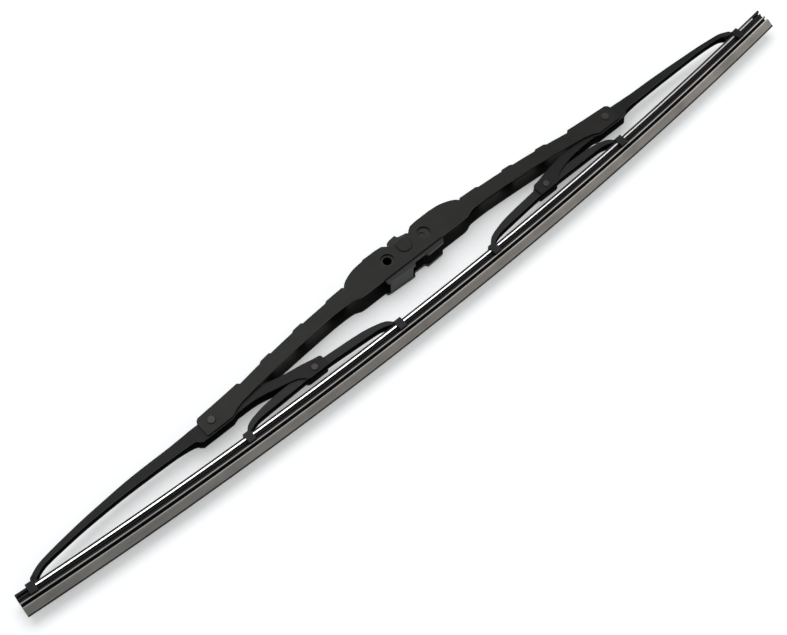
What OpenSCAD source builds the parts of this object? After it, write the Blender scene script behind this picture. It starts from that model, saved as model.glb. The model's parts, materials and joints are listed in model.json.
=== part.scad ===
// Wiper blade of the bracket kind, lying on its side as it would rest on a bench.
// X runs along the blade, Y points from the wiping lip to the bridge's back and Z
// runs across the blade. The origin is the middle of the side-pin bore that takes
// the wiper arm. Every pivot axis is parallel to Z.

/* [Bridge] */
// Half of the bridge's length, from the centre rivet to an open end
bridge_half = 146.5; // [144:0.5:156]
// Distance of a yoke rivet from the bridge's open end
yoke_inset = 6.7; // [6.4:0.1:9]
// Drop of the yoke rivets below the centre rivet
yoke_pivot_drop = 11.1; // [10.8:0.1:11.8]
// Width across the bridge at its middle
bridge_mid_w = 16.0; // [15.4:0.1:18]
// Width across the bridge at its ends
bridge_end_w = 11.0; // [11:0.1:12.4]
// Thickness of the bridge's sheet
bridge_wall = 0.9; // [0.75:0.05:0.9]
// Height of the back's crown above the centre rivet
back_top = 2.2; // [1.9:0.1:2.8]
// Radius of the bridge's arched back
back_r = 942; // [860:1:1100]
// Radius of the arched lower edge of the side walls
belly_r = 948; // [860:1:1100]
// Height of the raised pads on the back
pad_rise = 0.8; // [0.5:0.1:1.4]
// Radius of the access holes in the side ears
ear_hole_r = 3.8; // [3:0.1:4]
// Height of the ears above the centre rivet
ear_top = 7.1; // [6:0.1:8]
// Extra height of the left ear around its access hole
ear_step = 0.5; // [0:0.1:1]

/* [Adapter] */
// Distance of the side-pin bore from the centre rivet
side_bore_x = 12.9; // [12:0.1:14]
// Drop of the side-pin bore below the centre rivet
side_bore_drop = 1.2; // [0.8:0.1:2]
// Radius of the side-pin bore
side_bore_r = 2.4; // [2:0.05:2.6]
// Thickness of the adapter's cheeks
cheek_t = 2.1; // [1.6:0.1:2.4]
// Half the height of the bearing core that an arm hook wraps
core_half = 4.2; // [3.8:0.1:5]
// Clearance between the adapter and the ears, each side
adapter_gap = 0.2; // [0.1:0.05:0.4]

/* [Rivets] */
// Radius of the centre rivet's shank
centre_shank_r = 1.9; // [1.5:0.1:2]
// Radius of the spacer sleeve on the centre rivet, which the adapter turns on
sleeve_r = 2.5; // [2.4:0.1:2.8]
// Radius of the centre rivet's heads
centre_head_r = 4.4; // [4:0.1:5]
// Radius of the yoke rivets' shanks
yoke_shank_r = 1.6; // [1.2:0.1:1.8]
// Radius of the yoke rivets' heads
yoke_head_r = 2.4; // [2.1:0.1:3]
// Radius of the claw bar rivets' shanks
bar_shank_r = 1.4; // [1.2:0.1:1.7]
// Radius of the claw bar rivets' heads
bar_head_r = 2.2; // [2:0.1:2.8]
// Height of a rivet head
head_t = 0.7; // [0.5:0.1:1]
// Radial play of a shank in the piece that turns on it
pivot_play = 0.06; // [0.03:0.01:0.1]
// Radial play of a shank in the walls that hold it
seat_play = 0.02; // [0.01:0.01:0.03]

/* [Yokes] */
// Width across a yoke
yoke_w = 8.4; // [8.2:0.05:8.45]
// Width across a yoke's outer arm
arm_w = 5.4; // [4.6:0.1:7]
// Thickness of a yoke's sheet
yoke_wall = 0.85; // [0.7:0.05:0.85]
// Reach of the left outer claw from the centre rivet
left_reach = 259; // [250:0.5:262]
// Reach of the right outer claw from the centre rivet
right_reach = 237.5; // [232:0.5:252]
// Thickness of the plastic saddle between a yoke and the bridge
yoke_liner_t = 0.3; // [0.2:0.05:0.3]

/* [Claw bars] */
// Width across a claw bar
bar_w = 6.0; // [5.4:0.05:6.05]
// Thickness of a claw bar's sheet
bar_wall = 0.85; // [0.7:0.05:0.95]
// Distance of the inner claws from the centre rivet
inner_claw_x = 33.9; // [30:0.1:37]
// Distance of the outer claws from the centre rivet
outer_claw_x = 133.1; // [128:0.1:135.5]
// Shift of both claw bars to the right of the symmetrical place
bar_shift = 2.1; // [0:0.1:3]
// Height of a claw bar's pivot above the rubber's head
bar_rise = 7.5; // [7.2:0.05:7.9]
// Thickness of the plastic saddle between a claw bar and its yoke
bar_liner_t = 0.25; // [0.15:0.05:0.25]

/* [Claws] */
// Length of a claw along the blade
claw_len = 4.4; // [3.6:0.1:6]
// Sheet thickness of a claw
claw_t = 0.85; // [0.7:0.05:1.1]
// Clearance between a claw and what it grips
claw_gap = 0.15; // [0.1:0.05:0.3]

/* [Wiping element] */
// Length of the rubber along its curve
rubber_len = 530; // [520:1:540]
// Height of the rubber from lip to head
rubber_h = 12.0; // [11.5:0.1:13]
// Middle of the rubber's length, from the centre rivet
rubber_mid = -4.1; // [-8:0.1:0]
// Radius of the free curve, at the lip
bow_r = 2750; // [2400:10:3500]
// Place of the curve's lowest point along the blade
bow_x = -26; // [-30:1:-14]
// Drop of the lip's lowest point below the centre rivet
lip_drop = 42.9; // [42.5:0.05:43.4]
// Width across the two steel strips
strip_span = 8.8; // [8.4:0.1:9]
// Width of one steel strip
strip_w = 3.15; // [2.8:0.05:3.2]
// Thickness of a steel strip
strip_t = 1.0; // [0.8:0.05:1.2]
// Distance that each strip stops short of the rubber's end
strip_short = 7; // [4:0.5:12]

/* [Hidden] */
$fn = 48;
eps = 0.01;

yoke_pivot_x = bridge_half - yoke_inset;

// Half widths across the blade
mid_half = bridge_mid_w / 2;
end_half = bridge_end_w / 2;
yoke_half = yoke_w / 2;
bar_half = bar_w / 2;
arm_half = arm_w / 2;
head_half = strip_span / 2;
adapter_half = mid_half - bridge_wall - adapter_gap;

// Heights down the rubber, from the top of its head
cap_t = 0.9;
strip_play = 0.05;
slot_t = strip_t + 2 * strip_play;
flange_t = 1.0;
groove_top = cap_t + slot_t + flange_t;
claw_top_gap = 0.1;
hook_t = 1.6;
groove_t = hook_t + 2 * claw_top_gap + 0.25;
fin_top = groove_top + groove_t;
fin_t = 0.75;
neck_t = 1.45;
shoulder_top = fin_top + fin_t + neck_t;
shoulder_t = 0.65;
cap_half = head_half - 0.5;
flange_half = head_half - 1.65;
rail_half = head_half - strip_w - strip_play;
groove_half = 1.7;
fin_half = 3.7;
neck_half = 0.6;
shoulder_half = 2.9;
tip_half = 0.4;

// Points along the rubber's curve
head_r = bow_r - rubber_h;
bow_y = bow_r - lip_drop;
function head_y(x) = bow_y - sqrt(head_r * head_r - (x - bow_x) * (x - bow_x));
function head_tilt(x) = asin((x - bow_x) / head_r);

// The same, in coordinates that run outwards on side s, which is 1 or -1
function out_y(s, x) = head_y(s * x);
function out_tilt(s, x) = s * head_tilt(s * x);
function out_reach(s) = s > 0 ? right_reach : left_reach;
function inner_x(s) = inner_claw_x + s * bar_shift;
function outer_x(s) = outer_claw_x + s * bar_shift;

// A smooth run through a few chosen points
function curve_at(a, b, c, d, t) =
    0.5 * (2 * b + (c - a) * t + (2 * a - 5 * b + 4 * c - d) * t * t + (3 * b - a - 3 * c + d) * t * t * t);
function smooth(p, n = 5) = [
    for (i = [0:len(p) - 2]) for (k = [0:n - 1])
        curve_at(p[max(i - 1, 0)], p[i], p[i + 1], p[min(i + 2, len(p) - 1)], k / n),
    p[len(p) - 1]];
function flipped(p) = [for (i = [len(p) - 1:-1:0]) p[i]];
function mirrored(p) = [for (i = [len(p) - 1:-1:0]) [-p[i][0], p[i][1]]];
function moved(p, dx, dy) = [for (q = p) [q[0] + dx, q[1] + dy]];

// Moves the centre rivet's frame so that the side-pin bore is the origin
module in_frame() {
    translate([side_bore_x, side_bore_drop, 0]) children();
}

// Mirrors what is drawn with X outwards onto the left side
module on_side(s) {
    if (s < 0) mirror([1, 0, 0]) children();
    else children();
}

// A side outline in X and Y made solid across the blade
module across(half) {
    linear_extrude(2 * half, center = true) children();
}

// A plan outline in X and Z made solid along Y
module along_y() {
    rotate([90, 0, 0]) linear_extrude(200, center = true) children();
}

module cross_pin(x, y, r, half) {
    translate([x, y, -half]) cylinder(r = r, h = 2 * half);
}

// Bridge outlines, given for the right half
ear_end = 41;
pad_end_x = bridge_half - 29;
ear_low = 9.4;
block_low = 5.6;
pads = [[41.9, 53], [71.3, 76.8], [94.6, 100.4]];
function back_y(x) = back_top - x * x / (2 * back_r);
function belly_y(x) = back_top - 8.0 - x * x / (2 * belly_r);
function end_back_y(x) = back_y(pad_end_x) + 1.28 - 0.072 * (x - pad_end_x);
block_y = -yoke_pivot_drop - block_low;
block_x = bridge_half - 17;

function bridge_half_outline(step) = concat(
    [[0, 3.6], [5.6, 3.6], [7.2, 4.6], [8.2, ear_top - 1.6 + step / 2], [10, ear_top - 0.5 + step]],
    step > 0 ? [[14, ear_top - 0.1 + step], [22.7, ear_top + step], [23.5, ear_top]] : [[14, ear_top - 0.1]],
    smooth([[24, ear_top], [30.6, ear_top - 0.7], [36, ear_top - 2.4], [39.2, 3.0], [ear_end, back_y(ear_end)]], 4),
    [for (x = [46:10:106]) [x, back_y(x)]],
    [[pad_end_x - 1.2, back_y(pad_end_x)], [pad_end_x, end_back_y(pad_end_x)]],
    [[bridge_half - 2, end_back_y(bridge_half - 2)], [bridge_half - 0.6, end_back_y(bridge_half) - 0.8]],
    [[bridge_half, end_back_y(bridge_half) - 2], [bridge_half, block_y + 0.6], [bridge_half - 0.6, block_y]],
    [[block_x + 1, block_y]],
    smooth([[block_x, block_y + 0.3], [block_x - 3, belly_y(block_x - 3) - 0.7], [block_x - 8, belly_y(block_x - 8)]], 3),
    [for (x = [115:-10:55]) [x, belly_y(x)]],
    smooth([[48, belly_y(48) - 0.3], [42, -7.6], [37.5, -9.2], [33, -ear_low]], 4),
    [[0, -ear_low]]);

bridge_half_hollow = concat(
    [[0, 30], [ear_end, 30]],
    [for (x = [ear_end, for (k = [46:10:106]) k, pad_end_x - 1.2]) [x, back_y(x) - bridge_wall]],
    [[pad_end_x, end_back_y(pad_end_x) - bridge_wall]],
    [[bridge_half + 5, end_back_y(bridge_half + 5) - bridge_wall], [bridge_half + 5, -30], [0, -30]]);

// Plan of the bridge: parallel at the ears, then tapering to its ends
module bridge_plan(inset) {
    taper = mid_half - end_half;
    half = concat(
        [[0, mid_half - inset], [48, mid_half - inset]],
        smooth([[56, mid_half - inset - 0.02 * taper], [72, end_half + 0.9 * taper - inset],
                [90, end_half + 0.68 * taper - inset], [106, end_half + 0.34 * taper - inset],
                [pad_end_x + 1, end_half + 0.11 * taper - inset], [bridge_half - 18, end_half - inset]], 3),
        [[bridge_half - 3, end_half - inset], [bridge_half + eps, end_half - (inset > 0 ? inset : 0.35)],
         [bridge_half + 5, end_half - inset]]);
    upper = concat(mirrored(half), half);
    polygon(concat(upper, [for (p = flipped(upper)) [p[0], -p[1]]]));
}

module pad_outline(x1, x2) {
    polygon([[x1 - 1, back_y(x1) - bridge_wall], [x1 - 0.8, back_y(x1)], [x1, back_y(x1) + pad_rise],
             [x2, back_y(x2) + pad_rise], [x2 + 1.4, back_y(x2)], [x2 + 1.6, back_y(x2) - bridge_wall]]);
}

module back_slot(x1, x2) {
    slot_half = end_half - bridge_wall - 0.8;
    translate([x1, -40, -slot_half]) cube([x2 - x1, 80, 2 * slot_half]);
}

module primary_bridge() {
    color([0.17, 0.17, 0.17]) in_frame() difference() {
        intersection() {
            union() {
                across(mid_half) polygon(concat(bridge_half_outline(0), mirrored(bridge_half_outline(ear_step))));
                for (s = [1, -1]) on_side(s) for (p = pads) across(mid_half) pad_outline(p[0], p[1]);
            }
            along_y() bridge_plan(0);
        }
        intersection() {
            across(mid_half) polygon(concat(bridge_half_hollow, mirrored(bridge_half_hollow)));
            along_y() bridge_plan(bridge_wall);
        }
        for (s = [1, -1]) on_side(s) {
            back_slot(pads[0][1] + 1.6, pads[1][0] - 1);
            back_slot(pads[1][1] + 1.6, pads[2][0] - 1);
            back_slot(pads[2][1] + 1.6, pad_end_x - 1.4);
            cross_pin(side_bore_x, -side_bore_drop, ear_hole_r, mid_half + 1);
            cross_pin(yoke_pivot_x, -yoke_pivot_drop, yoke_shank_r + seat_play, mid_half + 1);
        }
        cross_pin(0, 0, centre_shank_r + seat_play, mid_half + 1);
    }
}

// A rivet: shank and two low domed heads
module rivet(x, y, shank_r, rivet_head_r, half) {
    translate([x, y, 0]) rotate_extrude()
        polygon([[0, -half - head_t], [rivet_head_r - 0.4, -half - head_t], [rivet_head_r, -half - head_t + 0.4],
                 [rivet_head_r, -half], [shank_r, -half], [shank_r, half], [rivet_head_r, half],
                 [rivet_head_r, half + head_t - 0.4], [rivet_head_r - 0.4, half + head_t], [0, half + head_t]]);
}

// Spacer sleeve that keeps the ears apart, on the centre rivet
module center_sleeve() {
    color([0.3, 0.3, 0.3]) in_frame() rotate_extrude()
        translate([centre_shank_r + seat_play, -mid_half + bridge_wall])
            square([sleeve_r - centre_shank_r - seat_play, 2 * (mid_half - bridge_wall)]);
}

module center_rivet() {
    color([0.2, 0.2, 0.2]) in_frame() rivet(0, 0, centre_shank_r, centre_head_r, mid_half);
}

// Adapter for the arm, turning on the centre rivet between the ears
adapter_tail = 21.5;
adapter_nose = 18.6;
leg_low = 12.6;
cheek_top = 4.4;
snap_half = sleeve_r - 0.5;

cheek_outline = concat(
    smooth([[-adapter_tail, -4], [-adapter_tail + 0.6, 0], [-adapter_tail + 4, 3.2], [-12, cheek_top]], 4),
    smooth([[6, cheek_top], [12, 4.0], [adapter_nose - 1.8, 1.8], [adapter_nose, -4]], 4),
    [[adapter_nose, -leg_low + 1.9], [adapter_nose - 1.1, -leg_low + 0.6], [7.4, -leg_low + 0.1]],
    [[6.7, -leg_low + 0.2], [5.5, -leg_low + 1.9], [-1.6, -leg_low + 1.9], [-2.9, -leg_low]],
    [[-adapter_tail + 3.5, -leg_low + 0.7], [-adapter_tail + 0.6, -leg_low + 1], [-adapter_tail, -leg_low + 2]]);

module arm_adapter() {
    color([0.1, 0.1, 0.1]) in_frame() difference() {
        union() {
            // Cheeks on each side
            for (s = [1, -1]) translate([0, 0, s * (adapter_half - cheek_t / 2)])
                across(cheek_t / 2) polygon(cheek_outline);
            // Core that the hook of an arm wraps
            across(adapter_half - cheek_t / 2) union() {
                translate([5, 0]) circle(r = core_half);
                translate([-side_bore_x - 4, -core_half]) square([side_bore_x + 9, 2 * core_half]);
                translate([-side_bore_x, -side_bore_drop]) circle(r = side_bore_r + 2.2);
            }
            // Floor that ties the legs
            across(adapter_half - cheek_t / 2) polygon([[-adapter_tail + 2, -leg_low + 0.9],
                [-adapter_tail + 2, -leg_low + 2.1], [-4.2, -leg_low + 1.4], [-4.2, -leg_low + 0.2]]);
            // Release finger that stands up between the ears
            across(3.1) polygon([[-5.8, core_half - 1], [-5.4, 6.8], [-4.5, 8.8], [-2.5, 9.5], [1.8, 9.9],
                [2.1, 8.6], [3.0, 7.9], [7.6, 7.0], [8.8, 5.6], [9.0, core_half - 1]]);
        }
        // Snap mouth under the rivet
        translate([-snap_half, -core_half - 1, -adapter_half - 1])
            cube([2 * snap_half, core_half + 1, 2 * adapter_half + 2]);
        cross_pin(0, 0, sleeve_r + pivot_play, adapter_half + 1);
        cross_pin(-side_bore_x, -side_bore_drop, side_bore_r, adapter_half + 1);
        // Dimple behind the other access hole
        for (s = [1, -1]) translate([side_bore_x - 1.4, -side_bore_drop, s * adapter_half])
            cylinder(r = side_bore_r - 0.6, h = 1.2, center = true);
    }
}

// A claw's section in Y and Z, seen along the blade, with the rubber's head top at Y = 0
module claw_section() {
    inner = head_half + claw_gap;
    hook_top = -groove_top - claw_top_gap;
    hook_in = groove_half + 2 * claw_gap;
    difference() {
        translate([hook_top - hook_t, -inner - claw_t])
            square([claw_gap + claw_t - hook_top + hook_t, 2 * (inner + claw_t)]);
        translate([hook_top, -inner]) square([claw_gap - hook_top, 2 * inner]);
        translate([hook_top - hook_t - 1, -hook_in]) square([hook_t + 2, 2 * hook_in]);
    }
}

// A claw around the rubber's head, at distance x outwards on side s
module claw(s, x) {
    translate([x, out_y(s, x), 0]) rotate([0, 0, out_tilt(s, x)])
        rotate([90, 0, 90]) linear_extrude(claw_len, center = true) claw_section();
}

// Yokes
function bar_mid(s) = [(inner_x(s) + outer_x(s)) / 2,
                       (out_y(s, inner_x(s)) + out_y(s, outer_x(s))) / 2];
function bar_slope(s) = atan((out_y(s, outer_x(s)) - out_y(s, inner_x(s))) / (outer_x(s) - inner_x(s)));
function bar_pivot(s) = bar_mid(s) + bar_rise * [-sin(bar_slope(s)), cos(bar_slope(s))];
function yoke_pivot() = [yoke_pivot_x, -yoke_pivot_drop];
claw_roof = claw_gap + claw_t;

// Heights of the outer arms above the yoke's pivot, at shares of the reach beyond it
left_arm_top = [[0.11, 3.1], [0.2, 3.25], [0.407, 3.15], [0.564, 2.0], [0.7, 0.6], [0.846, -1.6], [0.93, -3.6]];
left_arm_low = [[0.2, -2.4], [0.354, -1.9], [0.49, -1.8], [0.643, -2.3], [0.764, -3.3], [0.9, -5.2]];
right_arm_top = [[0.13, 2.8], [0.22, 2.8], [0.45, 2.2], [0.732, 0.7], [0.88, -0.6], [0.94, -1.6]];
right_arm_low = [[0.2, -2.7], [0.34, -2.3], [0.517, -2.0], [0.756, -2.1], [0.9, -3.1]];
function arm_run(list, p, span) = [for (m = list) [p[0] + m[0] * span, p[1] + m[1]]];

// Upper outline of a yoke, from the clevis end outwards to the claw
function yoke_top(s) =
    let (p = yoke_pivot(), q = bar_pivot(s), r = out_reach(s), y = out_y(s, r) + claw_roof, span = r - p[0])
    concat(
        [[q[0] - 6.8, q[1] + 2.7]],
        smooth(concat(
            [[q[0] - 5.8, q[1] + 3.6], [q[0] - 1, q[1] + 4.4], [q[0] + 4.5, q[1] + 5.6], [q[0] + 18, q[1] + 7.8],
             [p[0] - 28, p[1] - 0.1], [p[0] - 15, p[1] + 2.0], [p[0], p[1] + 2.9], [p[0] + 7.4, p[1] + 3.1]],
            arm_run(s < 0 ? left_arm_top : right_arm_top, p, span),
            [[r - 2.4, y + 2.0], [r - 1.2, y + 0.4]]), 4),
        [[r - 0.6, y]]);
function yoke_low(s) =
    let (p = yoke_pivot(), q = bar_pivot(s), r = out_reach(s), y = out_y(s, r) + claw_gap, span = r - p[0])
    concat(
        [[q[0] - 6.8, q[1] - 2.4], [q[0] - 6.0, q[1] - 3.2], [q[0] + 5.4, q[1] - 3.2]],
        smooth([[q[0] + 6.6, q[1] - 2.8], [q[0] + 9.2, q[1] - 0.4], [q[0] + 12.5, q[1] + 1.2],
                [q[0] + 20.9, q[1] + 3.2], [p[0] - 25, p[1] - 5.3], [p[0] - 12.5, p[1] - 4.9]], 4),
        [[p[0] - 9.2, p[1] - 6.1], [p[0] + 10.2, p[1] - 6.1]],
        smooth(concat([[p[0] + 11.8, p[1] - 4.8], [p[0] + 14, p[1] - 3.3]], arm_run(s < 0 ? left_arm_low : right_arm_low, p, span),
                [[r - 4.6, y + 1.5], [r - 2.6, y + 0.2], [r - 1.6, y]]), 4));

// Plan of a yoke: parallel up to the bridge's end, then a slim arm that widens at the claw
module yoke_plan(s, inset) {
    r = out_reach(s);
    grip = head_half + claw_gap + 0.4;
    half = concat(
        [[30, yoke_half - inset]],
        smooth([[yoke_pivot_x + 12, yoke_half - inset], [yoke_pivot_x + 17, (yoke_half + arm_half) / 2 - inset],
                [yoke_pivot_x + 24, arm_half - inset]], 3),
        smooth([[r - 7, arm_half - inset], [r - 4, arm_half + 0.5 - inset], [r - 1.2, grip - inset]], 3),
        [[r + 9, grip - inset]]);
    polygon(concat(half, [for (p = flipped(half)) [p[0], -p[1]]]));
}

module yoke(s) {
    q = bar_pivot(s);
    color([0.15, 0.15, 0.16]) in_frame() on_side(s) difference() {
        union() {
            difference() {
                intersection() {
                    across(yoke_half) polygon(concat(yoke_top(s), flipped(yoke_low(s))));
                    along_y() yoke_plan(s, 0);
                }
                intersection() {
                    across(yoke_half) polygon(concat(
                        [[q[0] - 8, q[1] + 2.7 - yoke_wall]], moved(yoke_top(s), 0, -yoke_wall),
                        flipped(moved(yoke_low(s), 0, -12)), [[q[0] - 8, q[1] - 20]]));
                    along_y() yoke_plan(s, yoke_wall);
                    translate([0, -100, -20]) cube([out_reach(s) - claw_len, 200, 40]);
                }
            }
            claw(s, out_reach(s));
        }
        // Room for the rubber's head behind the claw
        translate([out_reach(s), out_y(s, out_reach(s)), 0]) rotate([0, 0, out_tilt(s, out_reach(s))])
            translate([-15, -6, -head_half - claw_gap]) cube([15, 6 + claw_gap, 2 * (head_half + claw_gap)]);
        cross_pin(yoke_pivot_x, -yoke_pivot_drop, yoke_shank_r + pivot_play, yoke_half + 1);
        cross_pin(q[0], q[1], bar_shank_r + seat_play, yoke_half + 1);
    }
}

module left_yoke() { yoke(-1); }
module right_yoke() { yoke(1); }

module yoke_rivet(s) {
    color([0.32, 0.29, 0.27]) in_frame() on_side(s)
        rivet(yoke_pivot_x, -yoke_pivot_drop, yoke_shank_r, yoke_head_r, end_half);
}

module left_yoke_rivet() { yoke_rivet(-1); }
module right_yoke_rivet() { yoke_rivet(1); }

// A thin plastic saddle over a pivot: two side plates and a strap across the back
module saddle(x, y, bore_r, inside, t, len, up, down) {
    difference() {
        translate([x, y, 0]) across(inside + t) polygon([[-len + 1, -down], [len - 1, -down], [len, -down + 1],
            [len, up + t], [-len, up + t], [-len, -down + 1]]);
        translate([x - len - 1, y - down - 1, -inside]) cube([2 * len + 2, down + 1 + up, 2 * inside]);
        cross_pin(x, y, bore_r, inside + t + 1);
    }
}

saddle_play = 0.05;

module yoke_liner(s) {
    color([0.08, 0.08, 0.08]) in_frame() on_side(s)
        saddle(yoke_pivot_x, -yoke_pivot_drop, yoke_shank_r + pivot_play, yoke_half + saddle_play, yoke_liner_t,
               5.0, 3.3, 4.4);
}

module left_yoke_liner() { yoke_liner(-1); }
module right_yoke_liner() { yoke_liner(1); }

// Claw bars: an arched channel with a claw at each end
module claw_bar(s) {
    q = bar_pivot(s);
    span = (outer_x(s) - inner_x(s)) / (2 * cos(bar_slope(s)));
    roof = -bar_rise + claw_roof;
    half_top = smooth([[0, 2.0], [10, 1.8], [span - 19.5, 0.6], [span - 9.5, -1.1], [span - 4.2, -2.9],
                       [span - 1.4, roof + 1], [span, roof]]);
    half_low = smooth([[0, -2.4], [10, -2.5], [span - 13.5, -3.7], [span - 7.5, -4.6], [span - 3.4, roof + 0.3],
                       [span - 1, roof - claw_t / 2]]);
    color([0.13, 0.14, 0.16]) in_frame() on_side(s) difference() {
        union() {
            translate([q[0], q[1], 0]) rotate([0, 0, bar_slope(s)]) difference() {
                across(bar_half) polygon(concat(mirrored(half_top), half_top, flipped(half_low),
                                                flipped(mirrored(half_low))));
                intersection() {
                    across(bar_half - bar_wall) polygon(concat(
                        moved(mirrored(half_top), 0, -bar_wall), moved(half_top, 0, -bar_wall),
                        [[span, -15], [-span, -15]]));
                    translate([-span + claw_len / 2, -20, -10]) cube([2 * span - claw_len, 40, 20]);
                }
            }
            claw(s, inner_x(s));
            claw(s, outer_x(s));
        }
        cross_pin(q[0], q[1], bar_shank_r + pivot_play, bar_half + 1);
    }
}

module left_claw_bar() { claw_bar(-1); }
module right_claw_bar() { claw_bar(1); }

module claw_rivet(s) {
    q = bar_pivot(s);
    color([0.22, 0.22, 0.23]) in_frame() on_side(s) rivet(q[0], q[1], bar_shank_r, bar_head_r, yoke_half);
}

module left_claw_rivet() { claw_rivet(-1); }
module right_claw_rivet() { claw_rivet(1); }

module claw_liner(s) {
    q = bar_pivot(s);
    color([0.07, 0.07, 0.07]) in_frame() on_side(s)
        translate([q[0], q[1], 0]) rotate([0, 0, bar_slope(s)])
            saddle(0, 0, bar_shank_r + pivot_play, bar_half + saddle_play, bar_liner_t, 4.6, 2.1, 2.9);
}

module left_claw_liner() { claw_liner(-1); }
module right_claw_liner() { claw_liner(1); }

// Sweeps a section along the free curve. The section's X is the depth below the head's top.
module along_bow(len) {
    angle = len / bow_r * 180 / PI;
    mid = (rubber_mid - bow_x) / bow_r * 180 / PI;
    translate([bow_x, bow_y, 0]) rotate([0, 0, -90 + mid - angle / 2])
        rotate_extrude(angle = angle, $fn = 2400) translate([head_r, 0]) children();
}

module wiping_rubber() {
    right = [[0, cap_half], [cap_t, cap_half], [cap_t, rail_half], [cap_t + slot_t, rail_half],
             [cap_t + slot_t, flange_half], [groove_top, flange_half], [groove_top, groove_half],
             [fin_top, groove_half], [fin_top, fin_half], [fin_top + fin_t, fin_half],
             [fin_top + fin_t, neck_half], [shoulder_top, neck_half], [shoulder_top, shoulder_half],
             [shoulder_top + shoulder_t, shoulder_half], [rubber_h - 1.2, tip_half + 0.3], [rubber_h, tip_half]];
    color([0.36, 0.34, 0.33]) in_frame() along_bow(rubber_len)
        polygon(concat(right, [for (p = flipped(right)) [p[0], -p[1]]]));
}

module steel_strip(s) {
    inner = head_half - strip_w;
    color([0.85, 0.86, 0.87]) in_frame() along_bow(rubber_len - 2 * strip_short)
        translate([cap_t + strip_play, s > 0 ? inner : -head_half]) square([strip_t, strip_w]);
}

module front_steel_strip() { steel_strip(1); }
module back_steel_strip() { steel_strip(-1); }

primary_bridge();
center_rivet();
center_sleeve();
arm_adapter();
left_yoke();
right_yoke();
left_yoke_rivet();
right_yoke_rivet();
left_yoke_liner();
right_yoke_liner();
left_claw_bar();
right_claw_bar();
left_claw_rivet();
right_claw_rivet();
left_claw_liner();
right_claw_liner();
wiping_rubber();
front_steel_strip();
back_steel_strip();
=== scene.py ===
"""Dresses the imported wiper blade: coated steel, moulded plastic, rivets, the curved rubber with its
two steel strips, and a pale studio around it. Everything is in metres, in the frame of the model."""

import json
import math

import bmesh
import bpy
from bpy.props import FloatProperty, FloatVectorProperty, IntProperty, PointerProperty
from bpy.types import Operator, Panel, PropertyGroup
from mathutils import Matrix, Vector

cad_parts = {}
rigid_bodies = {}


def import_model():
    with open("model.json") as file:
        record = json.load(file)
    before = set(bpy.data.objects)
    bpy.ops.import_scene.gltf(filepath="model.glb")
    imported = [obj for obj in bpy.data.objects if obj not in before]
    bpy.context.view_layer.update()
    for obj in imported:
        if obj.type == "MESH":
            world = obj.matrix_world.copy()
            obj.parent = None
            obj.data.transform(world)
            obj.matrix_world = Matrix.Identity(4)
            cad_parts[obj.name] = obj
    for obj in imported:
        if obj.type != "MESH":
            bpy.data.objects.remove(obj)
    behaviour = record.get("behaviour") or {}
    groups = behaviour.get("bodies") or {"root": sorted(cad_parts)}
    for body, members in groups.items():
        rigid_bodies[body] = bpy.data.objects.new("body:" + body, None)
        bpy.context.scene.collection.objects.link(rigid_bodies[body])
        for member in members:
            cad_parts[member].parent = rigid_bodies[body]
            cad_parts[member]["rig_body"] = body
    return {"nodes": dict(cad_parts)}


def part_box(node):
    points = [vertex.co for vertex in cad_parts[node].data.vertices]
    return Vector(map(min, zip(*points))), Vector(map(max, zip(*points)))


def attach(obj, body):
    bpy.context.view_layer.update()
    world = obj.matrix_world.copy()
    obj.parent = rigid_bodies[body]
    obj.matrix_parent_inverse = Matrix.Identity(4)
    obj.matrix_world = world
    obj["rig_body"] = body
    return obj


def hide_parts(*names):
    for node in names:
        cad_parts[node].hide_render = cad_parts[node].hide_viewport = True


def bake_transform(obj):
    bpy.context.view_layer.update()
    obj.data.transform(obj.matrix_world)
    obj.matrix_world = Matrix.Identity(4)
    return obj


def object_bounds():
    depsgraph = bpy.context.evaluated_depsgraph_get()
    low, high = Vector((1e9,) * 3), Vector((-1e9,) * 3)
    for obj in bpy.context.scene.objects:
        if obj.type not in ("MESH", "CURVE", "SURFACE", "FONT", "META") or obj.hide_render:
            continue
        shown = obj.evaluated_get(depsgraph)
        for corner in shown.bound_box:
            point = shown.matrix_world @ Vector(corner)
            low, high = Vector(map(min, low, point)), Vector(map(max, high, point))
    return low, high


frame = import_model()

bl_info = {
    "name": "Wiper Blade Dressing",
    "version": (1, 0, 0),
    "blender": (4, 5, 0),
    "location": "View3D > Sidebar > Wiper Blade",
    "description": "Finishes for a bracket wiper blade, its swept rubber and steel strips, and a studio",
    "category": "Object",
}

CAD_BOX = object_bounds()

# The centre rivet's middle and the ends of rubber, bars and yokes, read from the model
RIVET_LOW, RIVET_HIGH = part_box("center_rivet")
CENTRE_RIVET = (RIVET_LOW + RIVET_HIGH) / 2
RUBBER_LOW, RUBBER_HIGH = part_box("wiping_rubber")
LEFT_BAR_LOW, LEFT_BAR_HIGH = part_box("left_claw_bar")
RIGHT_BAR_LOW, RIGHT_BAR_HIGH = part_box("right_claw_bar")
LEFT_YOKE_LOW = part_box("left_yoke")[0]
RIGHT_YOKE_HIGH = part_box("right_yoke")[1]

COATED_STEEL = ["primary_bridge", "left_yoke", "right_yoke", "left_claw_bar", "right_claw_bar"]
RIVETS = ["center_rivet", "center_sleeve", "left_yoke_rivet", "right_yoke_rivet", "left_claw_rivet",
          "right_claw_rivet"]
SADDLES = ["left_yoke_liner", "right_yoke_liner", "left_claw_liner", "right_claw_liner"]
SLOTS = {"primary_bridge": "bridge_paint", "left_yoke": "yoke_paint", "right_yoke": "yoke_paint",
         "left_claw_bar": "bar_paint", "right_claw_bar": "bar_paint"}

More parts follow.
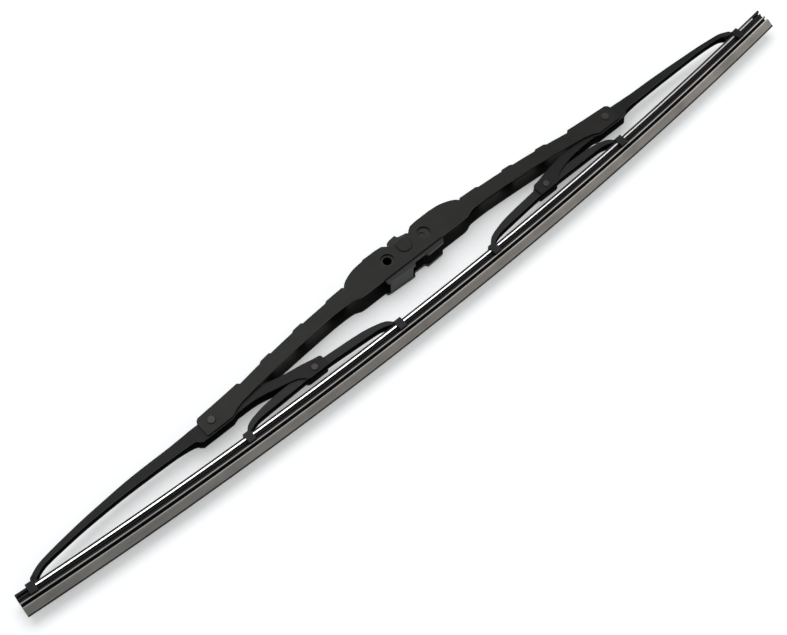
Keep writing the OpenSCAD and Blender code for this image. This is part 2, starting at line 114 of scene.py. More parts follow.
# Copies of the solids: vertices closer than this are one, and the angles of flat, rounded and sharp edges
MERGE_DISTANCE = 2e-6
FLAT_ANGLE = math.radians(0.6)
BEVEL_ANGLE = math.radians(35)
SHARP_ANGLE = math.radians(38)
SWEEP_SHARP_ANGLE = math.radians(34)

# Rubber section: half widths against the strips' span, and the play round a strip
HEAD_INSET = 0.0002
FLANGE_INSET = 0.00165
STRIP_PLAY = 0.00005
# From the neck to the top of the flanks: depth below the strip slots' floor, and half width
NECK_TO_SHOULDER = [
    (0.00100, 0.0019), (0.00115, 0.0017), (0.00290, 0.0017), (0.00305, 0.0019), (0.00305, 0.0036),
    (0.00315, 0.0037), (0.00370, 0.0037), (0.00380, 0.0036), (0.00380, 0.0009), (0.00410, 0.0006),
    (0.00490, 0.0006), (0.00525, 0.0009), (0.00525, 0.0028), (0.00535, 0.0029), (0.00590, 0.0029),
    (0.00710, 0.0021),
]
# Lip: height above its edge, and half width
LIP = [(0.0012, 0.0008), (0.0006, 0.00058), (0.0001, 0.0004), (0.0, 0.0003)]
# Painted highlight on the edges of fin and shoulder: first and last depth below the slots' floor, and least
# half width
FIN_EDGE = (0.0030, 0.0039, 0.0035)
SHOULDER_EDGE = (0.0052, 0.0060, 0.0027)
# Above this depth the rubber takes the dark colour: black rubber in the head, painted shade in the grooves
FLANK_TOP = 0.0059
DARK_LIP = 0.0006

# Half the length of a claw, and the core that fills the rubber's joints under the inner claws
HALF_CLAW = 0.0022
CORE_SHARE = 0.97
CORE_REACH = 0.0013

# Studio: floor, lamps from the aim, and camera
FLOOR_REACH = 6.0
FLOOR_GAP = 0.00002
MAIN_LAMP_PLACE, MAIN_LAMP_SIZE = (0.05, 0.5, 1.35), (1.3, 1.0)
FILL_LAMP_PLACE, FILL_LAMP_SIZE = (0.9, -0.7, 0.9), (0.9, 0.7)
FLOOR_LIFT = 0.32
SENSOR_WIDTH = 36
CLIP_START, CLIP_END = 0.01, 50


# Sizes and colours a user would change


class RubberSettings(PropertyGroup):
    """Sizes of the wiping rubber and its strips"""

    bow_radius: FloatProperty(
        name="Bow radius", description="Radius of the free curve, at the lip",
        default=2.75, min=2.4, max=3.5, unit="LENGTH",
    )
    height: FloatProperty(
        name="Height", description="From the lip to the top of the head",
        default=0.012, min=0.0115, max=0.013, unit="LENGTH",
    )
    bow_x: FloatProperty(
        name="Bow place", description="Lowest point of the curve from the centre rivet",
        default=-0.026, unit="LENGTH",
    )
    lip_drop: FloatProperty(
        name="Lip drop", description="Lowest point of the lip below the centre rivet",
        default=0.0429, unit="LENGTH",
    )
    middle: FloatProperty(
        name="Middle", description="Middle of the rubber's length from the centre rivet",
        default=-0.0041, unit="LENGTH",
    )
    length: FloatProperty(
        name="Length", description="Length along the lip",
        default=0.53, min=0.5, max=0.56, unit="LENGTH",
    )
    strip_short: FloatProperty(
        name="Strip gap", description="How far each strip stops short of the rubber's end",
        default=0.007, unit="LENGTH",
    )
    strip_span: FloatProperty(
        name="Strip span", description="Width across both strips",
        default=0.0088, unit="LENGTH",
    )
    strip_width: FloatProperty(
        name="Strip width", description="Width of one strip",
        default=0.00315, unit="LENGTH",
    )
    strip_top: FloatProperty(
        name="Strip depth", description="Top of the strips below the top of the head",
        default=0.00125, unit="LENGTH",
    )
    strip_low: FloatProperty(
        name="Strip underside", description="Underside of the strips below the top of the head",
        default=0.00195, unit="LENGTH",
    )
    steps: IntProperty(
        name="Steps", description="Rings along each span of the sweep",
        default=60, min=10, max=200,
    )
    colour: FloatVectorProperty(
        name="Rubber", description="Colour of the graphited rubber",
        subtype="COLOR", default=(0.23, 0.217, 0.202),
    )
    # Black rubber of the head and the lip's edge, and painted shade in the grooves
    dark: FloatVectorProperty(
        name="Dark rubber", description="Colour of the head, the hinge and the lip's edge",
        subtype="COLOR", default=(0.012, 0.012, 0.012),
    )
    # Painted highlight: light colour on the edges of fin and shoulder, where the lamp lights them
    painted_highlight: FloatVectorProperty(
        name="Painted edge highlights", description="Colour of the edges of fin and shoulder",
        subtype="COLOR", default=(0.5, 0.49, 0.47),
    )


class FinishSettings(PropertyGroup):
    """Colours of the coated steel, the plastic and the rivets"""

    coat: FloatVectorProperty(
        name="Coat", description="Black coat on the pressed steel",
        subtype="COLOR", default=(0.0112, 0.0107, 0.0094),
    )
    yoke_coat: FloatVectorProperty(
        name="Yoke coat", description="Deeper black coat on the long yokes",
        subtype="COLOR", default=(0.007, 0.007, 0.007),
    )
    coat_roughness: FloatProperty(
        name="Coat roughness", description="Satin of the coat",
        default=0.46, min=0.1, max=0.9,
    )
    bar_coat: FloatVectorProperty(
        name="Claw bar coat", description="Slightly bluish coat on the claw bars",
        subtype="COLOR", default=(0.0105, 0.011, 0.0115),
    )
    plastic: FloatVectorProperty(
        name="Adapter", description="Moulded plastic of the adapter",
        subtype="COLOR", default=(0.0055, 0.0055, 0.0055),
    )
    saddle: FloatVectorProperty(
        name="Saddles", description="Plastic saddles at the pivots",
        subtype="COLOR", default=(0.012, 0.012, 0.012),
    )
    rivet: FloatVectorProperty(
        name="Rivets", description="Dark steel of the rivets",
        subtype="COLOR", default=(0.036, 0.032, 0.028),
    )
    # Painted highlight: the bright colour on the narrow edges of the strips, which catch the lamp
    strip: FloatVectorProperty(
        name="Strips", description="Bright sheared edge of the spring steel",
        subtype="COLOR", default=(0.9, 0.9, 0.9),
    )
    # Painted shade: the same steel made darker on the broad faces of the strips
    strip_face: FloatVectorProperty(
        name="Strip faces", description="Duller rolled faces of the strips",
        subtype="COLOR", default=(0.42, 0.41, 0.4),
    )
    edge: FloatProperty(
        name="Edge", description="Rounding of the pressed edges",
        default=0.00014, min=0.0, max=0.0004, unit="LENGTH",
    )


class StudioSettings(PropertyGroup):
    """Camera, lamps and floor"""

    azimuth: FloatProperty(
        name="Azimuth", description="Camera's angle round the blade",
        default=math.radians(-41.6), unit="ROTATION",
    )
    elevation: FloatProperty(
        name="Elevation", description="Camera's angle above the floor",
        default=math.radians(61.4), unit="ROTATION",
    )
    distance: FloatProperty(
        name="Distance", description="Camera to its aim",
        default=0.889, unit="LENGTH",
    )
    aim_x: FloatProperty(
        name="Aim X", description="Aim from the centre rivet, along the blade",
        default=-0.0304, unit="LENGTH",
    )
    aim_y: FloatProperty(
        name="Aim Y", description="Aim from the centre rivet, towards its back",
        default=-0.0259, unit="LENGTH",
    )
    lens: FloatProperty(
        name="Lens", description="Focal length in mm on a 36 mm sensor",
        default=77.76, min=20, max=200,
    )
    lamp: FloatProperty(
        name="Lamp", description="Power of the main soft lamp in watts",
        default=10.0, min=0, max=100,
    )
    fill: FloatProperty(
        name="Fill", description="Power of the fill lamp in watts",
        default=0.8, min=0, max=100,
    )
    sky: FloatProperty(
        name="Sky", description="Strength of the even light",
        default=0.5, min=0, max=2,
    )
    floor: FloatVectorProperty(
        name="Floor", description="Colour of the floor",
        subtype="COLOR", default=(0.84, 0.865, 0.875),
    )


# Materials


class Graph:
    """Adds nodes to a material one at a time and links them"""

    def __init__(self, name):
        self.material = bpy.data.materials.new(name)
        self.material.use_nodes = True
        self.tree = self.material.node_tree
        self.shader = self.tree.nodes["Principled BSDF"]

    def add(self, kind, **settings):
        node = self.tree.nodes.new(kind)
        for key, value in settings.items():
            if hasattr(node, key):
                setattr(node, key, value)
            else:
                node.inputs[key.replace("_", " ")].default_value = value
        return node

    def link(self, a, b):
        self.tree.links.new(a, b)

    def object_coords(self, stretch=(1, 1, 1)):
        coords = self.add("ShaderNodeTexCoord")
        mapping = self.add("ShaderNodeMapping")
        mapping.inputs["Scale"].default_value = stretch
        self.link(coords.outputs["Object"], mapping.inputs["Vector"])
        return mapping.outputs["Vector"]

    def noise(self, vector, scale, detail=3.0, roughness=0.5):
        node = self.add("ShaderNodeTexNoise", Scale=scale, Detail=detail, Roughness=roughness)
        self.link(vector, node.inputs["Vector"])
        return node.outputs["Fac"]

    def ramp(self, value, stops):
        node = self.add("ShaderNodeValToRGB")
        spots = node.color_ramp.elements
        spots[0].position, spots[0].color = stops[0][0], (*stops[0][1], 1)
        spots[1].position, spots[1].color = stops[-1][0], (*stops[-1][1], 1)
        for place, colour in stops[1:-1]:
            spot = spots.new(place)
            spot.color = (*colour, 1)
        self.link(value, node.inputs["Fac"])
        return node.outputs["Color"]

    def spread(self, value, low, high):
        node = self.add("ShaderNodeMapRange")
        node.inputs["To Min"].default_value = low
        node.inputs["To Max"].default_value = high
        self.link(value, node.inputs["Value"])
        return node.outputs["Result"]

    def bump(self, value, strength, distance, under=None):
        node = self.add("ShaderNodeBump", Strength=strength, Distance=distance)
        self.link(value, node.inputs["Height"])
        if under is not None:
            self.link(under, node.inputs["Normal"])
        return node.outputs["Normal"]


def tinted(colour, share):
    return tuple(min(1.0, c * share) for c in colour)


def coated_steel(name, colour, roughness):
    """Black satin coat on pressed steel: faint mottling, orange peel and dust"""
    g = Graph(name)
    space = g.object_coords()
    mottle = g.noise(space, 90, 4.0, 0.6)
    peel = g.noise(space, 2600, 2.0)
    dust = g.noise(space, 700, 5.0, 0.7)
    tones = g.ramp(mottle, [(0.3, tinted(colour, 0.8)), (0.7, tinted(colour, 1.25))])
    g.link(tones, g.shader.inputs["Base Color"])
    g.link(g.spread(dust, roughness - 0.08, roughness + 0.1), g.shader.inputs["Roughness"])
    low = g.bump(peel, 0.25, 0.00004)
    g.link(g.bump(mottle, 0.15, 0.0002, low), g.shader.inputs["Normal"])
    g.shader.inputs["Specular IOR Level"].default_value = 0.2
    return g.material


def moulded_plastic(name, colour, roughness, grain):
    """Fine spark-eroded grain of a moulded part"""
    g = Graph(name)
    space = g.object_coords()
    fine = g.noise(space, grain, 3.0, 0.65)
    broad = g.noise(space, 120, 2.0)
    tones = g.ramp(broad, [(0.3, tinted(colour, 0.85)), (0.7, tinted(colour, 1.2))])
    g.link(tones, g.shader.inputs["Base Color"])
    g.link(g.spread(fine, roughness - 0.06, roughness + 0.12), g.shader.inputs["Roughness"])
    g.link(g.bump(fine, 0.35, 0.00005), g.shader.inputs["Normal"])
    g.shader.inputs["Specular IOR Level"].default_value = 0.3
    return g.material


def rivet_steel(name, colour):
    """Dark headed steel with soft scuffs"""
    g = Graph(name)
    space = g.object_coords()
    scuff = g.noise(space, 1400, 6.0, 0.7)
    stain = g.noise(space, 260, 3.0)
    tones = g.ramp(stain, [(0.3, tinted(colour, 0.7)), (0.75, tinted(colour, 1.5))])
    g.link(tones, g.shader.inputs["Base Color"])
    g.link(g.spread(scuff, 0.34, 0.6), g.shader.inputs["Roughness"])
    g.link(g.bump(scuff, 0.2, 0.00005), g.shader.inputs["Normal"])
    g.shader.inputs["Metallic"].default_value = 0.7
    return g.material


def spring_steel(name, colour):
    """Bright rolled steel with a fine grain along the strip"""
    g = Graph(name)
    along = g.object_coords((12, 1, 1))
    roll = g.noise(along, 1, 2.0)
    lines = g.object_coords((30, 5200, 5200))
    line = g.noise(lines, 1, 4.0, 0.7)
    tones = g.ramp(roll, [(0.3, tinted(colour, 0.92)), (0.7, tinted(colour, 1.06))])
    g.link(tones, g.shader.inputs["Base Color"])
    g.link(g.spread(line, 0.2, 0.38), g.shader.inputs["Roughness"])
    g.link(g.bump(line, 0.12, 0.00002), g.shader.inputs["Normal"])
    g.shader.inputs["Metallic"].default_value = 1.0
    return g.material


def graphited_rubber(name, colour):
    """Rubber with streaks along the extrusion and a fine grain, and painted light along the blade: darker at
    the left end, lighter towards the right
    """
    g = Graph(name)
    streak = g.noise(g.object_coords((14, 900, 900)), 1, 4.0, 0.6)
    grain = g.noise(g.object_coords(), 3200, 3.0, 0.7)
    cloud = g.noise(g.object_coords((1, 1, 1)), 40, 4.0, 0.65)
    mix = g.add("ShaderNodeMix", data_type="RGBA", blend_type="MULTIPLY")
    mix.inputs[0].default_value = 1.0
    g.link(g.ramp(cloud, [(0.3, tinted(colour, 0.82)), (0.7, tinted(colour, 1.22))]), mix.inputs[6])
    g.link(g.ramp(streak, [(0.3, (0.82, 0.82, 0.82)), (0.7, (1.0, 1.0, 1.0))]), mix.inputs[7])
    # Painted light: the colour is multiplied darker at the rubber's left end and lighter towards its right
    # end, where the lamp falls
    place = g.add("ShaderNodeSeparateXYZ")
    g.link(g.object_coords(), place.inputs[0])
    along = g.add("ShaderNodeMapRange")
    along.inputs["From Min"].default_value = RUBBER_LOW.x
    along.inputs["From Max"].default_value = RUBBER_HIGH.x
    g.link(place.outputs["X"], along.inputs["Value"])
    painted_light_mix = g.add("ShaderNodeMix", data_type="RGBA", blend_type="MULTIPLY")
    painted_light_mix.inputs[0].default_value = 1.0
    g.link(mix.outputs[2], painted_light_mix.inputs[6])
    painted_light_ramp = [(0.0, (0.7, 0.72, 0.72)), (0.5, (0.95, 0.94, 0.93)), (1.0, (1.25, 1.22, 1.2))]
    g.link(g.ramp(along.outputs["Result"], painted_light_ramp), painted_light_mix.inputs[7])
    g.link(painted_light_mix.outputs[2], g.shader.inputs["Base Color"])
    g.link(g.spread(grain, 0.55, 0.8), g.shader.inputs["Roughness"])
    low = g.bump(grain, 0.4, 0.00004)
    g.link(g.bump(streak, 0.2, 0.00004, low), g.shader.inputs["Normal"])
    g.shader.inputs["Specular IOR Level"].default_value = 0.35
    return g.material


# Meshes


def sharpen(mesh, angle):
    """Smooth shading with sharp edges where faces meet at more than the angle"""
    work = bmesh.new()
    work.from_mesh(mesh)
    for face in work.faces:
        face.smooth = True
    for edge in work.edges:
        edge.smooth = len(edge.link_faces) == 2 and edge.calc_face_angle(math.pi) < angle
    work.to_mesh(mesh)
    work.free()


def settle(piece, modifier):
    """Writes a modifier's result into the piece's own mesh"""
    bpy.context.view_layer.update()
    made = bpy.data.meshes.new_from_object(piece.evaluated_get(bpy.context.evaluated_depsgraph_get()))
    piece.modifiers.remove(modifier)
    made.name = piece.name
    old, piece.data = piece.data, made
    bpy.data.meshes.remove(old)


def softened(node, name, width, segments=2):
    """A copy of a CAD node with its doubles merged, its flat faces whole and its edges rounded"""
    source = frame["nodes"][node]
    mesh = source.data.copy()
    mesh.name = name
    work = bmesh.new()
    work.from_mesh(mesh)
    bmesh.ops.remove_doubles(work, verts=work.verts, dist=MERGE_DISTANCE)
    bmesh.ops.dissolve_limit(work, angle_limit=FLAT_ANGLE, verts=work.verts, edges=work.edges)
    for edge in work.edges:
        edge.smooth = True
    work.to_mesh(mesh)
    work.free()
    piece = bpy.data.objects.new(name, mesh)
    bpy.context.scene.collection.objects.link(piece)
    bevel = piece.modifiers.new("Rounded edges", "BEVEL")
    bevel.width = width
    bevel.segments = segments
    bevel.limit_method = "ANGLE"
    bevel.angle_limit = BEVEL_ANGLE
    bevel.use_clamp_overlap = True
    settle(piece, bevel)
    sharpen(piece.data, SHARP_ANGLE)
    flatter = piece.modifiers.new("Flat faces", "WEIGHTED_NORMAL")
    flatter.weight = 100
    flatter.keep_sharp = True
    settle(piece, flatter)
    return piece


def dress(piece, material):
    piece.data.materials.clear()
    piece.data.materials.append(material)


def body_of_node(node):
    return frame["nodes"][node]["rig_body"]


# The sweep along the free curve


def bow_tree():
    """Sweeps a section object along the bow between two places, measured along the lip"""
    tree = bpy.data.node_groups.new("Sweep along the bow", "GeometryNodeTree")
    tree.is_modifier = True
    sockets = tree.interface
    sockets.new_socket("Geometry", in_out="OUTPUT", socket_type="NodeSocketGeometry")
    sockets.new_socket("Geometry", in_out="INPUT", socket_type="NodeSocketGeometry")
    for label, kind in (
        ("Section", "NodeSocketObject"),
        ("Start", "NodeSocketFloat"),
        ("End", "NodeSocketFloat"),
        ("Lip radius", "NodeSocketFloat"),
        ("Head radius", "NodeSocketFloat"),
        ("Centre", "NodeSocketVector"),
        ("Steps", "NodeSocketInt"),
        ("Material", "NodeSocketMaterial"),
    ):
        sockets.new_socket(label, in_out="INPUT", socket_type=kind)
    nodes, links = tree.nodes, tree.links
    given = nodes.new("NodeGroupInput")
    out = nodes.new("NodeGroupOutput")

    def math_node(operation, a, b=None):
        node = nodes.new("ShaderNodeMath")
        node.operation = operation
        for socket, value in zip(node.inputs, (a, b)):
            if isinstance(value, (int, float)):
                socket.default_value = value
            elif value is not None:
                links.new(value, socket)
        return node.outputs[0]

    line = nodes.new("GeometryNodeCurvePrimitiveLine")
    line.inputs["End"].default_value = (1, 0, 0)
    rings = nodes.new("GeometryNodeResampleCurve")
    links.new(line.outputs["Curve"], rings.inputs["Curve"])
    links.new(given.outputs["Steps"], rings.inputs["Count"])
    spline = nodes.new("GeometryNodeSplineParameter")
    span = math_node("SUBTRACT", given.outputs["End"], given.outputs["Start"])
    place = math_node("ADD", given.outputs["Start"], math_node("MULTIPLY", span, spline.outputs["Factor"]))
    angle = math_node("DIVIDE", place, given.outputs["Lip radius"])
    reach = math_node("MULTIPLY", given.outputs["Head radius"], math_node("SINE", angle))
    level = math_node("MULTIPLY", math_node("COSINE", angle), -1.0)
    rise = math_node("MULTIPLY", given.outputs["Head radius"], level)
    point = nodes.new("ShaderNodeCombineXYZ")
    links.new(reach, point.inputs["X"])
    links.new(rise, point.inputs["Y"])
    shifted = nodes.new("ShaderNodeVectorMath")
    shifted.operation = "ADD"
    links.new(point.outputs[0], shifted.inputs[0])
    links.new(given.outputs["Centre"], shifted.inputs[1])
    bent = nodes.new("GeometryNodeSetPosition")
    links.new(rings.outputs["Curve"], bent.inputs["Geometry"])
    links.new(shifted.outputs[0], bent.inputs["Position"])
    upright = nodes.new("GeometryNodeSetCurveNormal")
    upright.mode = "Z_UP"
    links.new(bent.outputs["Geometry"], upright.inputs["Curve"])
    section = nodes.new("GeometryNodeObjectInfo")
    links.new(given.outputs["Section"], section.inputs["Object"])
    sweep = nodes.new("GeometryNodeCurveToMesh")
    sweep.inputs["Fill Caps"].default_value = True
    links.new(upright.outputs["Curve"], sweep.inputs["Curve"])
    links.new(section.outputs["Geometry"], sweep.inputs["Profile Curve"])
    real = nodes.new("GeometryNodeRealizeInstances")
    links.new(sweep.outputs["Mesh"], real.inputs["Geometry"])
    finish = nodes.new("GeometryNodeSetMaterial")
    links.new(real.outputs["Geometry"], finish.inputs["Geometry"])
    links.new(given.outputs["Material"], finish.inputs["Material"])
    links.new(finish.outputs["Geometry"], out.inputs["Geometry"])
    return tree


def section_curve(name, points):
    """A closed outline as a curve: X is the depth below the head's top, Y is across the blade"""
    data = bpy.data.curves.new(name, "CURVE")
    data.dimensions = "2D"
    data.fill_mode = "NONE"
    spline = data.splines.new("POLY")
    spline.points.add(len(points) - 1)
    for spot, (depth, across) in zip(spline.points, points):
        spot.co = (depth, across, 0, 1)
    spline.use_cyclic_u = True
    holder = bpy.data.objects.new(name, data)
    bpy.context.scene.collection.objects.link(holder)
    return holder


def swept(name, tree, section, start, end, material, rubber):
    """One span of the sweep as a plain mesh piece"""
    centre = CENTRE_RIVET + Vector((rubber.bow_x, rubber.bow_radius - rubber.lip_drop, 0))
    holder = bpy.data.objects.new(name, bpy.data.meshes.new(name))
    bpy.context.scene.collection.objects.link(holder)
    modifier = holder.modifiers.new("Sweep", "NODES")
    modifier.node_group = tree
    values = {
        "Section": section,
        "Start": start - rubber.bow_x,
        "End": end - rubber.bow_x,
        "Lip radius": rubber.bow_radius,
        "Head radius": rubber.bow_radius - rubber.height,
        "Centre": centre,
        "Steps": rubber.steps,
        "Material": material,
    }
    for item in tree.interface.items_tree:
        if item.item_type == "SOCKET" and item.in_out == "INPUT" and item.name in values:
            modifier[item.identifier] = values[item.name]
    settle(holder, modifier)
    work = bmesh.new()
    work.from_mesh(holder.data)
    bmesh.ops.recalc_face_normals(work, faces=work.faces)
    work.to_mesh(holder.data)
    work.free()
    sharpen(holder.data, SWEEP_SHARP_ANGLE)
    if not holder.data.polygons:
        raise RuntimeError(f"{name}: the sweep made no faces")
    return holder


def slot_floor(rubber):
    """Depth of the strip slots' floor below the top of the head"""
    return rubber.strip_low + STRIP_PLAY


def rubber_outline(rubber):
    """The rubber's section: head with strip grooves, claw grooves, hinge, shoulders and lip"""
    half = rubber.strip_span / 2 - HEAD_INSET
    flange = rubber.strip_span / 2 - FLANGE_INSET
    rail = rubber.strip_span / 2 - rubber.strip_width - STRIP_PLAY
    top, floor = rubber.strip_top - STRIP_PLAY, slot_floor(rubber)
    side = [(0.0, half - 0.00025), (0.00008, half - 0.00008), (0.00025, half), (top, half), (top, rail)]
    side += [(floor, rail), (floor, flange), (floor + 0.0009, flange), (floor + 0.001, flange - 0.0001)]
    side += [(floor + depth, across) for depth, across in NECK_TO_SHOULDER]
    side += [(rubber.height - above, across) for above, across in LIP]
    return side + [(depth, -across) for depth, across in reversed(side)]


def shade_rubber(piece, rubber, dark, painted_highlight):
    """Black in the head, the grooves and the lip's edge, with painted shade in the grooves, and a painted
    highlight on the edges of fin and shoulder
    """
    mesh = piece.data
    mesh.materials.append(dark)
    mesh.materials.append(painted_highlight)
    centre = CENTRE_RIVET + Vector((rubber.bow_x, rubber.bow_radius - rubber.lip_drop, 0))
    head_radius, floor = rubber.bow_radius - rubber.height, slot_floor(rubber)
    for face in mesh.polygons:
        depth = math.dist(face.center.xy, centre.xy) - head_radius
        upright = abs(face.normal.z) > 0.9
        edges = (
            abs(face.center.z) > least and floor + first < depth < floor + last
            for first, last, least in (FIN_EDGE, SHOULDER_EDGE)
        )
        # Painted highlight on the flat faces at the edges of fin and shoulder
        if upright and any(edges):
            face.material_index = 2
        # Dark colour: black rubber in the head and the lip's edge, painted shade in the grooves
        elif depth < floor + FLANK_TOP or depth > rubber.height - DARK_LIP:
            face.material_index = 1


def spans(rubber):
    """Name, start and end along the lip from the centre rivet, and the bodies that carry each span"""
    low, high = rubber.middle - rubber.length / 2, rubber.middle + rubber.length / 2
    offset = CENTRE_RIVET.x
    left_inner, left_outer = LEFT_BAR_HIGH.x - offset - HALF_CLAW, LEFT_BAR_LOW.x - offset + HALF_CLAW
    right_inner, right_outer = RIGHT_BAR_LOW.x - offset + HALF_CLAW, RIGHT_BAR_HIGH.x - offset - HALF_CLAW
    left_end, right_end = LEFT_YOKE_LOW.x - offset + HALF_CLAW, RIGHT_YOKE_HIGH.x - offset - HALF_CLAW
    return [
        ("left_outer", low, left_outer, ("left_claw_bar", "left_yoke"), (left_outer, left_end)),
        ("left_inner", left_outer, left_inner, ("left_claw_bar",), None),
        ("middle", left_inner, right_inner, ("wiping_element",), None),
        ("right_inner", right_inner, right_outer, ("right_claw_bar",), None),
        ("right_outer", right_outer, high, ("right_claw_bar", "right_yoke"), (right_outer, right_end)),
    ]


def carry(piece, bodies):
    """Lets a span ride on its body, or bakes a span carried by two bodies in place, unparented"""
    if len(bodies) == 1:
        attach(piece, bodies[0])
    else:
        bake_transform(piece)


# Operators


class WIPER_OT_pressed_steel(Operator):
    """Round the edges of the bridge, yokes and claw bars and give them their satin coat"""

    bl_idname = "wiper.pressed_steel"
    bl_label = "Pressed steel"

    def execute(self, context):
        look = context.scene.blade_finish
        coat = coated_steel("Satin black coat", look.coat, look.coat_roughness)
        bar_coat = coated_steel("Claw bar coat", look.bar_coat, look.coat_roughness)
        yoke_coat = coated_steel("Yoke coat", look.yoke_coat, look.coat_roughness + 0.06)
        coats = {"bridge_paint": coat, "yoke_paint": yoke_coat, "bar_paint": bar_coat}
        for node in COATED_STEEL:
            piece = softened(node, "dressed_" + node, look.edge)
            dress(piece, coats[SLOTS[node]])
            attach(piece, body_of_node(node))
            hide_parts(node)
        return {"FINISHED"}


class WIPER_OT_adapter(Operator):
    """Give the arm adapter its moulded grain and softened edges"""

    bl_idname = "wiper.adapter"
    bl_label = "Arm adapter"

    def execute(self, context):
        look = context.scene.blade_finish
        piece = softened("arm_adapter", "dressed_arm_adapter", look.edge * 1.3)
        dress(piece, moulded_plastic("Adapter plastic", look.plastic, 0.42, 2400))
        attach(piece, body_of_node("arm_adapter"))
        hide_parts("arm_adapter")
        return {"FINISHED"}


class WIPER_OT_pivots(Operator):
    """Finish the rivets and the plastic saddles at the pivots"""

    bl_idname = "wiper.pivots"
    bl_label = "Rivets and saddles"

    def execute(self, context):
        look = context.scene.blade_finish
        steel = rivet_steel("Rivet steel", look.rivet)
        coat = coated_steel("Rivet coat", look.coat, look.coat_roughness)
        plastic = moulded_plastic("Saddle plastic", look.saddle, 0.5, 3000)
        for node in RIVETS:
            piece = softened(node, "dressed_" + node, look.edge)
            dress(piece, coat if node == "center_rivet" else steel)
            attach(piece, body_of_node(node))
            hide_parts(node)
        for node in SADDLES:
            dress(frame["nodes"][node], plastic)
        return {"FINISHED"}


class WIPER_OT_rubber(Operator):
    """Sweep the rubber along its free curve, one piece for each span between claws"""

    bl_idname = "wiper.rubber"
    bl_label = "Wiping rubber"

    def execute(self, context):
        rubber = context.scene.blade_rubber
        tree = bow_tree()
        section = section_curve("Rubber section", rubber_outline(rubber))
        material = graphited_rubber("Graphited rubber", rubber.colour)
        dark = graphited_rubber("Dark rubber", rubber.dark)
        painted_highlight = graphited_rubber("Rubbed rubber", rubber.painted_highlight)
        for name, start, end, bodies, reach in spans(rubber):
            piece = swept("rubber_" + name, tree, section, start, end, material, rubber)
            shade_rubber(piece, rubber, dark, painted_highlight)
            carry(piece, bodies)
            if name == "middle":
                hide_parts("wiping_rubber")
                slimmer = [(depth, across * CORE_SHARE) for depth, across in rubber_outline(rubber)]
                inner = section_curve("Rubber core section", slimmer)
                start, end = start - CORE_REACH, end + CORE_REACH
                core = swept("rubber_middle_core", tree, inner, start, end, material, rubber)
                bpy.data.objects.remove(inner)
                shade_rubber(core, rubber, dark, painted_highlight)
                carry(core, bodies)
        bpy.data.objects.remove(section)
        return {"FINISHED"}


class WIPER_OT_strips(Operator):
    """Sweep the two spring steel strips in the rubber's head, one piece for each span"""

    bl_idname = "wiper.strips"
    bl_label = "Steel strips"

    def execute(self, context):
        rubber = context.scene.blade_rubber
        tree = bow_tree()
        material = spring_steel("Spring steel", context.scene.blade_finish.strip)
        shaded_face_steel = spring_steel("Dull spring steel", context.scene.blade_finish.strip_face)
        outer, inner = rubber.strip_span / 2, rubber.strip_span / 2 - rubber.strip_width
        top, low = rubber.strip_top, rubber.strip_low
        limit = rubber.length / 2 - rubber.strip_short
        for label, sign in (("front", 1), ("back", -1)):
            ring = [(top, sign * inner), (top, sign * outer), (low, sign * outer), (low, sign * inner)]
            section = section_curve(label + " strip section", ring)
            for name, start, end, bodies, reach in spans(rubber):
                start, end = max(start, rubber.middle - limit), min(end, rubber.middle + limit)
                piece = swept(f"{label}_strip_{name}", tree, section, start, end, material, rubber)
                piece.data.materials.append(shaded_face_steel)
                # Painted highlight and shade: narrow edges facing along Z take the bright steel, broad faces
                # the darker copy
                for face in piece.data.polygons:
                    face.material_index = 0 if abs(face.normal.z) > 0.9 else 1
                carry(piece, bodies)
                if name == "middle":
                    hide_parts(label + "_steel_strip")
            bpy.data.objects.remove(section)
        return {"FINISHED"}


def soft_lamp(name, place, aim, size, power):
    data = bpy.data.lights.new(name, "AREA")
    data.shape = "RECTANGLE"
    data.size, data.size_y = size
    data.energy = power
    lamp = bpy.data.objects.new(name, data)
    lamp.location = place
    lamp.rotation_euler = (Vector(aim) - Vector(place)).to_track_quat("-Z", "Y").to_euler()
    bpy.context.scene.collection.objects.link(lamp)
    return lamp


class WIPER_OT_studio(Operator):
    """Lay the pale floor, hang the soft lamps and set the camera at the photograph's angle"""

    bl_idname = "wiper.studio"
    bl_label = "Studio"

    def execute(self, context):
        studio = context.scene.blade_studio
        scene = context.scene
        scene.view_settings.view_transform = "Standard"
        low = CAD_BOX[0]
        ground = low.z - FLOOR_GAP
        mesh = bpy.data.meshes.new("floor")
        corners = [(x * FLOOR_REACH, y * FLOOR_REACH, ground) for x, y in ((-1, -1), (1, -1), (1, 1), (-1, 1))]
        mesh.from_pydata(corners, [], [(0, 1, 2, 3)])
        floor = bpy.data.objects.new("floor", mesh)
        scene.collection.objects.link(floor)
        dress(floor, floor_paint("Floor paper", studio.floor))
        world = bpy.data.worlds.new("Even light")
        world.use_nodes = True
        sky = world.node_tree.nodes["Background"]
        sky.inputs["Color"].default_value = (1, 1, 1, 1)
        sky.inputs["Strength"].default_value = studio.sky
        scene.world = world
        aim = Vector((CENTRE_RIVET.x + studio.aim_x, CENTRE_RIVET.y + studio.aim_y, 0))
        soft_lamp("Main lamp", aim + Vector(MAIN_LAMP_PLACE), aim, MAIN_LAMP_SIZE, studio.lamp)
        soft_lamp("Fill lamp", aim + Vector(FILL_LAMP_PLACE), aim, FILL_LAMP_SIZE, studio.fill)
        data = bpy.data.cameras.new("Camera")
        data.lens = studio.lens
        data.sensor_width = SENSOR_WIDTH
        data.clip_start, data.clip_end = CLIP_START, CLIP_END
        camera = bpy.data.objects.new("Camera", data)
        a, e = studio.azimuth, studio.elevation
        back = Vector((math.sin(a) * math.cos(e), -math.cos(a) * math.cos(e), math.sin(e)))
        camera.location = aim + back * studio.distance
        camera.rotation_euler = (-back).to_track_quat("-Z", "Y").to_euler()
        scene.collection.objects.link(camera)
        scene.camera = camera
        return {"FINISHED"}


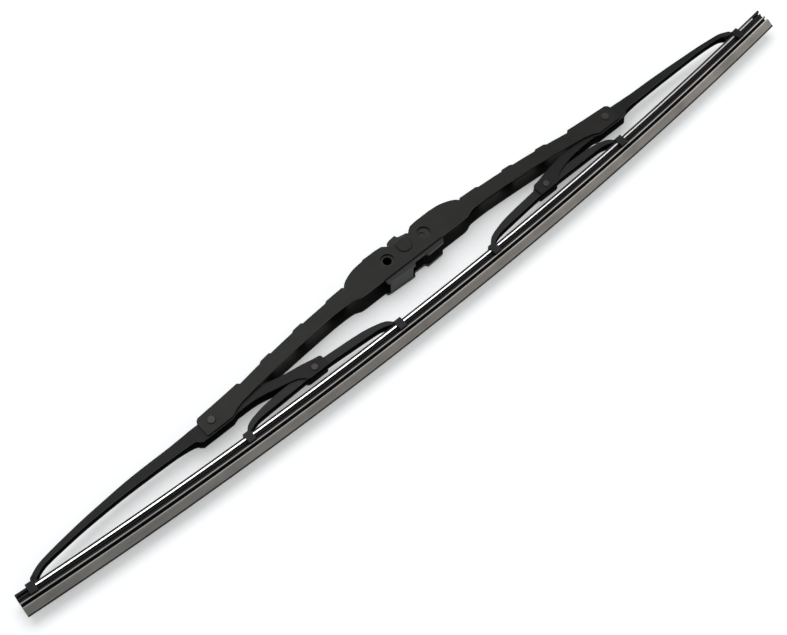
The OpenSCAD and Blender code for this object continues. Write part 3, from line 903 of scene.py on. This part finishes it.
def floor_paint(name, colour):
    """Pale paper that shows white to the camera and in reflections, and keeps its shadow"""
    g = Graph(name)
    space = g.object_coords()
    paper = g.noise(space, 30, 3.0)
    tones = g.ramp(paper, [(0.3, tinted(colour, 0.99)), (0.7, tinted(colour, 1.01))])
    g.link(tones, g.shader.inputs["Base Color"])
    g.shader.inputs["Roughness"].default_value = 0.9
    g.shader.inputs["Specular IOR Level"].default_value = 0.1
    rays = g.add("ShaderNodeLightPath")
    seen = g.add("ShaderNodeMath", operation="MAXIMUM")
    g.link(rays.outputs["Is Camera Ray"], seen.inputs[0])
    g.link(rays.outputs["Is Glossy Ray"], seen.inputs[1])
    lift = g.add("ShaderNodeMath", operation="MULTIPLY")
    g.link(seen.outputs[0], lift.inputs[0])
    lift.inputs[1].default_value = FLOOR_LIFT
    g.shader.inputs["Emission Color"].default_value = (1, 1, 1, 1)
    g.link(lift.outputs[0], g.shader.inputs["Emission Strength"])
    return g.material


class WIPER_PT_panel(Panel):
    """Lists the pieces of the wiper blade and their settings"""

    bl_idname = "WIPER_PT_panel"
    bl_label = "Wiper Blade"
    bl_space_type = "VIEW_3D"
    bl_region_type = "UI"
    bl_category = "Wiper Blade"

    def draw(self, context):
        layout = self.layout
        for settings in ("blade_finish", "blade_rubber", "blade_studio"):
            group = getattr(context.scene, settings)
            box = layout.box()
            for key in group.__annotations__:
                box.prop(group, key)
        for step in STEPS:
            layout.operator(step.bl_idname, text=step.bl_label)


STEPS = (
    WIPER_OT_pressed_steel, WIPER_OT_adapter, WIPER_OT_pivots, WIPER_OT_rubber, WIPER_OT_strips,
    WIPER_OT_studio,
)
CLASSES = (RubberSettings, FinishSettings, StudioSettings, *STEPS, WIPER_PT_panel)


def register():
    for each in CLASSES:
        bpy.utils.register_class(each)
    bpy.types.Scene.blade_rubber = PointerProperty(type=RubberSettings)
    bpy.types.Scene.blade_finish = PointerProperty(type=FinishSettings)
    bpy.types.Scene.blade_studio = PointerProperty(type=StudioSettings)


def unregister():
    del bpy.types.Scene.blade_rubber, bpy.types.Scene.blade_finish, bpy.types.Scene.blade_studio
    for each in reversed(CLASSES):
        bpy.utils.unregister_class(each)


def main():
    register()
    bpy.ops.wiper.pressed_steel()
    bpy.ops.wiper.adapter()
    bpy.ops.wiper.pivots()
    bpy.ops.wiper.rubber()
    bpy.ops.wiper.strips()
    bpy.ops.wiper.studio()


if __name__ == "__main__":
    main()
